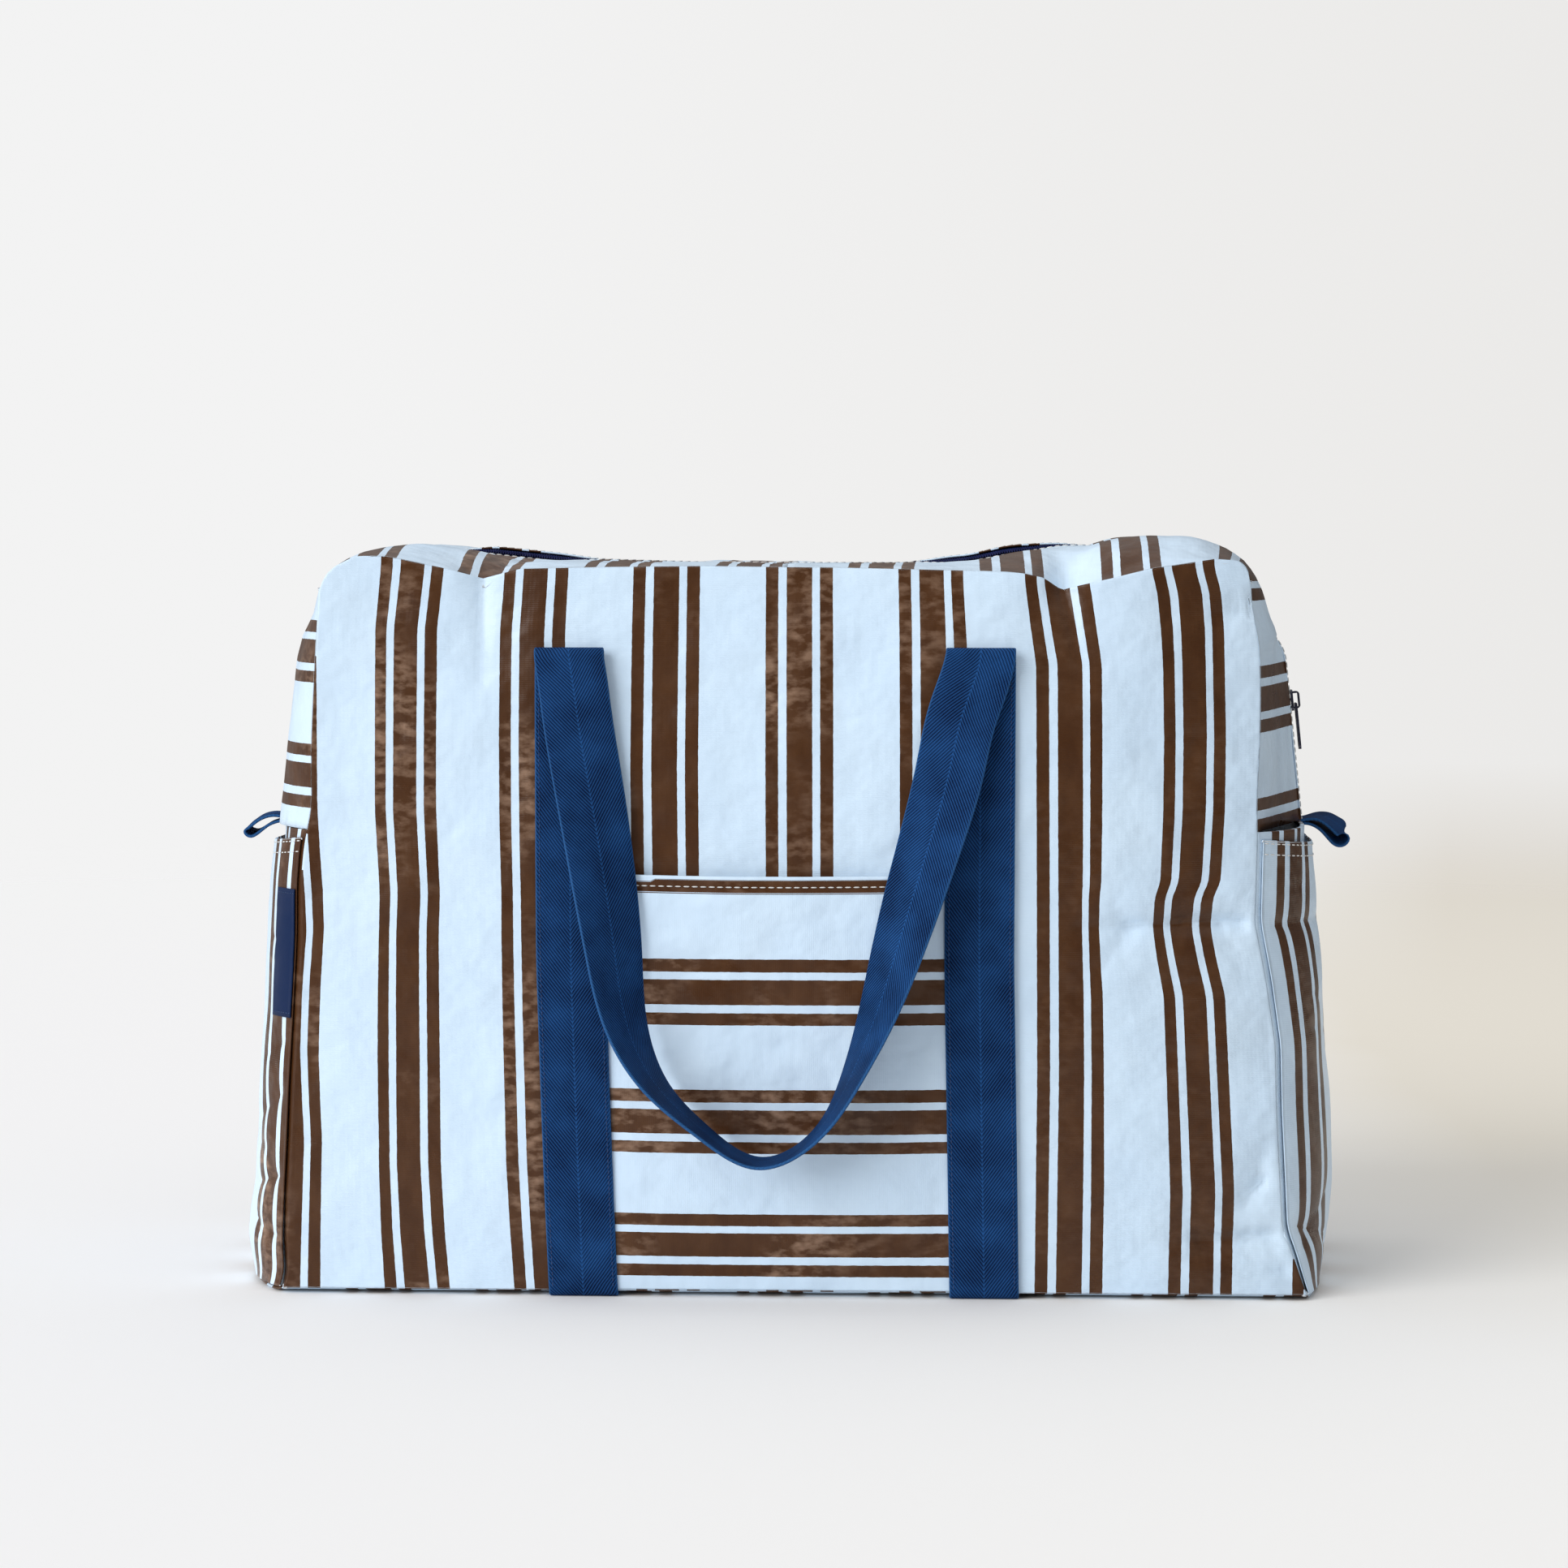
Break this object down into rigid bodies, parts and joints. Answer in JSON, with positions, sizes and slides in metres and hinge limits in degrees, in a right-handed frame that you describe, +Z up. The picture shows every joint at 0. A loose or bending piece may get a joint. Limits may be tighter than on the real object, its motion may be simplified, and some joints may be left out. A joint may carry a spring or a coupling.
{
  "type": "soft weekender bag",
  "caption": "Boxy soft holdall of striped woven cloth with a zip top, webbing carry handles, a front slip pocket, end pockets and side grab loops.",
  "frame": {"origin": "centre of the bag's footprint, on the surface it stands on", "axes": "+Z up, -Y out of the front (the face with the slip pocket and the label's seam), +X to the right as seen from the front, towards the end with the zip slider"},
  "size_m": [0.638, 0.353, 0.4146],
  "materials": {
    "striped_cloth": "satin",
    "navy_webbing": "matte",
    "zip_tape_navy": "matte",
    "zip_coil_navy": "satin",
    "zip_metal_navy": "satin",
    "woven_label": "satin"
  },
  "bodies": {
    "bag": {"front_panel": "striped_cloth", "back_panel": "striped_cloth", "base_panel": "striped_cloth", "left_end_panel": "striped_cloth", "right_end_panel": "striped_cloth", "front_pocket": "striped_cloth", "left_end_pocket": "striped_cloth", "right_end_pocket": "striped_cloth", "front_gusset_left": "striped_cloth", "front_gusset_right": "striped_cloth", "back_gusset_left": "striped_cloth", "back_gusset_right": "striped_cloth", "front_strap_left": "navy_webbing", "front_strap_right": "navy_webbing", "back_strap_left": "navy_webbing", "back_strap_right": "navy_webbing", "base_strap_left": "navy_webbing", "base_strap_right": "navy_webbing", "front_zip_tape_left": "zip_tape_navy", "front_zip_tape_right": "zip_tape_navy", "back_zip_tape_left": "zip_tape_navy", "back_zip_tape_right": "zip_tape_navy", "front_zip_coil_left": "zip_coil_navy", "front_zip_coil_right": "zip_coil_navy", "back_zip_coil_left": "zip_coil_navy", "back_zip_coil_right": "zip_coil_navy", "side_label": "woven_label"},
    "front_flap": {"front_gusset_top": "striped_cloth", "front_zip_tape_top": "zip_tape_navy", "front_zip_coil_top": "zip_coil_navy"},
    "back_flap": {"back_gusset_top": "striped_cloth", "back_zip_tape_top": "zip_tape_navy", "back_zip_coil_top": "zip_coil_navy"},
    "front_handle": {"front_handle": "navy_webbing"},
    "back_handle": {"back_handle": "navy_webbing"},
    "zip_slider": {"zip_slider": "zip_metal_navy"},
    "zip_pull": {"zip_pull": "zip_metal_navy"},
    "left_loop": {"left_grab_loop": "navy_webbing"},
    "right_loop": {"right_grab_loop": "navy_webbing"}
  },
  "joints": [
    {"name": "front_flap_open", "type": "hinge", "parent": "bag", "child": "front_flap", "pos_m": [0, -0.112, 0.3994], "axis": [1, 0, 0], "range_deg": [0, 65]},
    {"name": "back_flap_open", "type": "hinge", "parent": "bag", "child": "back_flap", "pos_m": [0, 0.112, 0.3994], "axis": [-1, 0, 0], "range_deg": [0, 65]},
    {"name": "front_handle_lift", "type": "hinge", "parent": "bag", "child": "front_handle", "pos_m": [0, -0.1251, 0.353], "axis": [-1, 0, 0], "range_deg": [0, 180]},
    {"name": "back_handle_lift", "type": "hinge", "parent": "bag", "child": "back_handle", "pos_m": [0, 0.1251, 0.353], "axis": [1, 0, 0], "range_deg": [0, 180]},
    {"name": "zip_run", "type": "slide", "parent": "bag", "child": "zip_slider", "axis": [-0.1044, 0, 0.9945], "range_m": [-0.02, 0.03]},
    {"name": "zip_pull_swing", "type": "hinge", "parent": "zip_slider", "child": "zip_pull", "pos_m": [0.28706, 0, 0.32161], "axis": [0, -1, 0], "range_deg": [0, 150]},
    {"name": "left_loop_bend", "type": "hinge", "parent": "bag", "child": "left_loop", "pos_m": [-0.2928, 0, 0.2555], "axis": [0, 1, 0], "range_deg": [-10, 45], "stiffness_Nm_per_rad": 0.02},
    {"name": "right_loop_bend", "type": "hinge", "parent": "bag", "child": "right_loop", "pos_m": [0.2928, 0, 0.2555], "axis": [0, -1, 0], "range_deg": [-10, 45], "stiffness_Nm_per_rad": 0.02}
  ]
}
